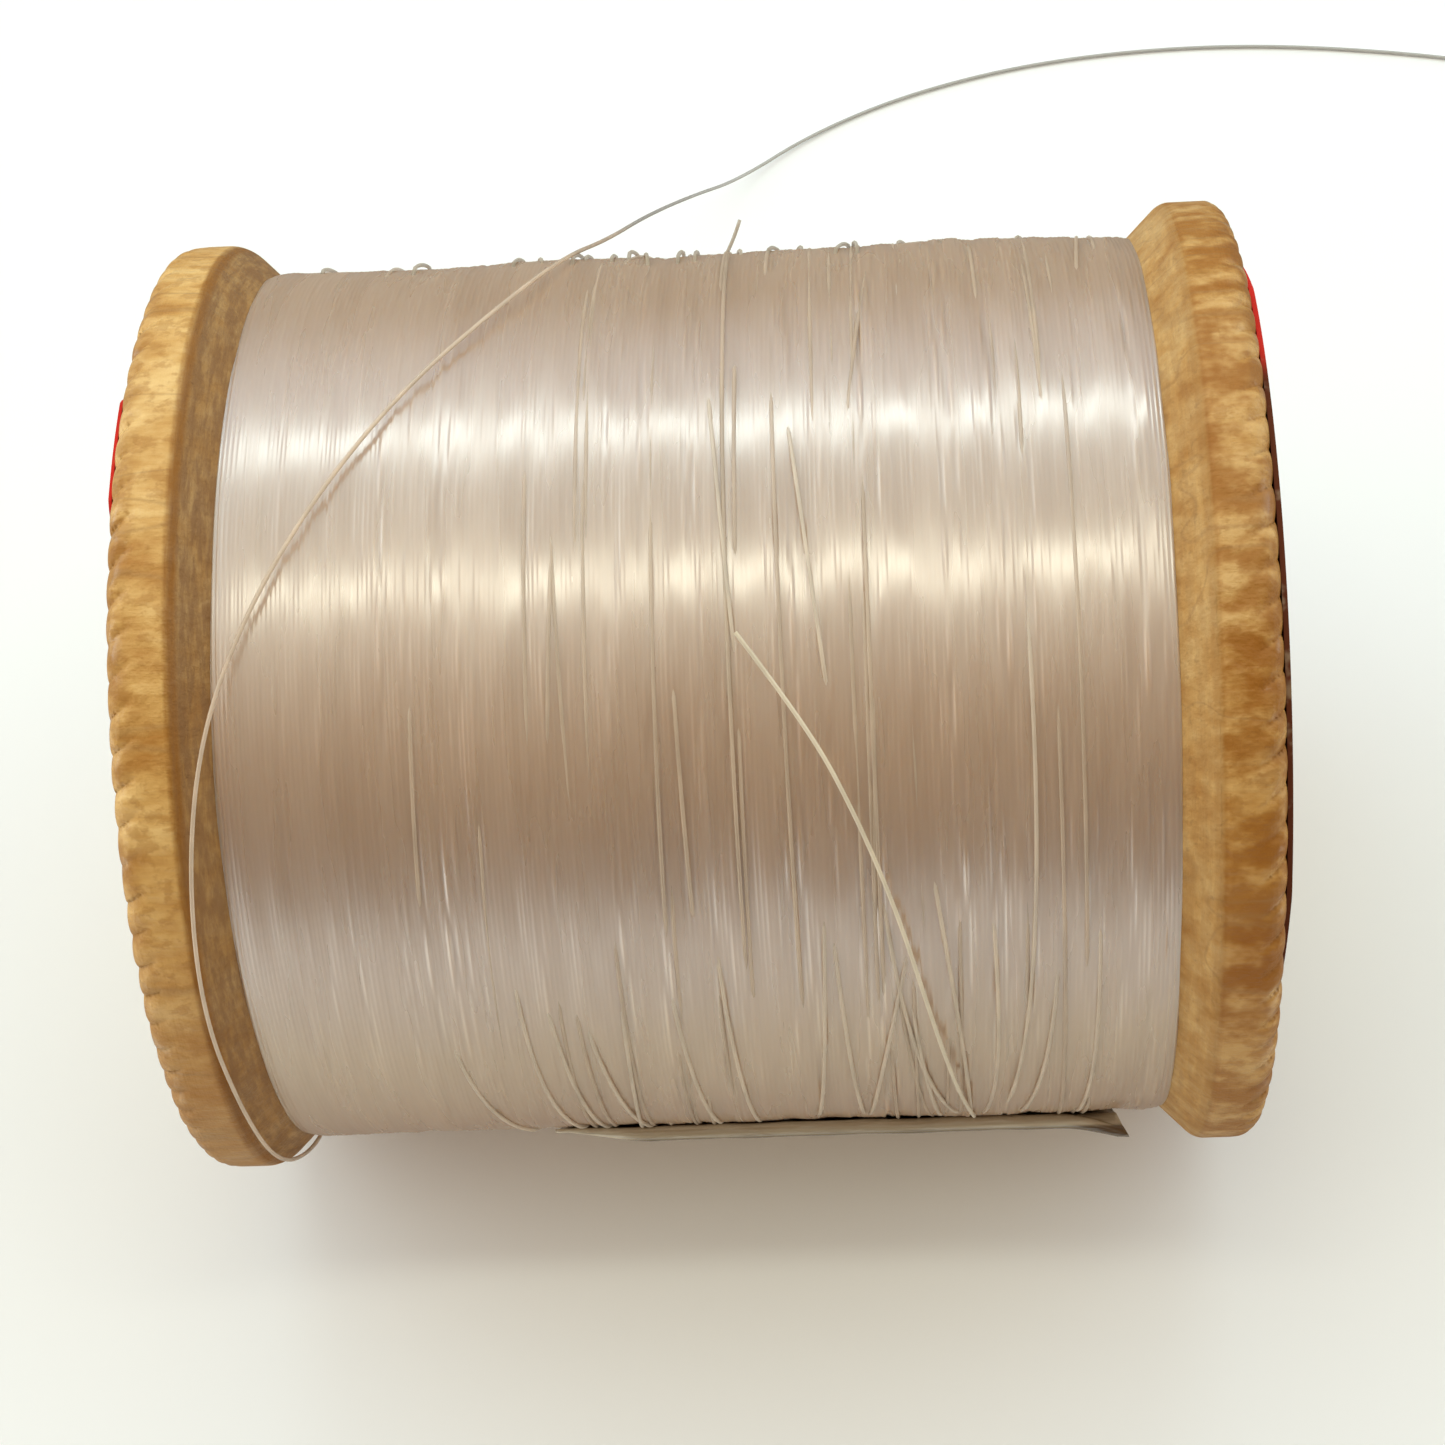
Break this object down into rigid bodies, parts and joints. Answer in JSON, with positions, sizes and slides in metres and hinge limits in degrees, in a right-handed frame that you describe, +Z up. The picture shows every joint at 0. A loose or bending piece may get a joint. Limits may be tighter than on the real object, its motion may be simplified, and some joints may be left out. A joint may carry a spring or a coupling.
{
  "type": "fishing line spool",
  "caption": "Turned wooden spool lying on its side, wound with clear monofilament line, with a free length of line trailing over the table.",
  "frame": {"origin": "middle of the spindle bore, on the spool's axis", "axes": "+X along the spool's axis towards the right flange, +Z up; the rims rest on a surface at z = -25 mm"},
  "size_m": [0.0955, 0.0907, 0.05],
  "materials": {
    "turned_wood": "turned birch, satin",
    "label_paper": "aged printed paper, matte",
    "nylon_line": "clear glossy monofilament",
    "clear_film": "clear glossy film"
  },
  "bodies": {
    "root": {"barrel": "turned_wood", "left_flange": "turned_wood", "right_flange": "turned_wood", "left_label": "label_paper", "right_label": "label_paper", "line_winding": "nylon_line", "clear_strip": "clear_film", "free_line": "nylon_line", "loose_end": "nylon_line"}
  },
  "joints": []
}
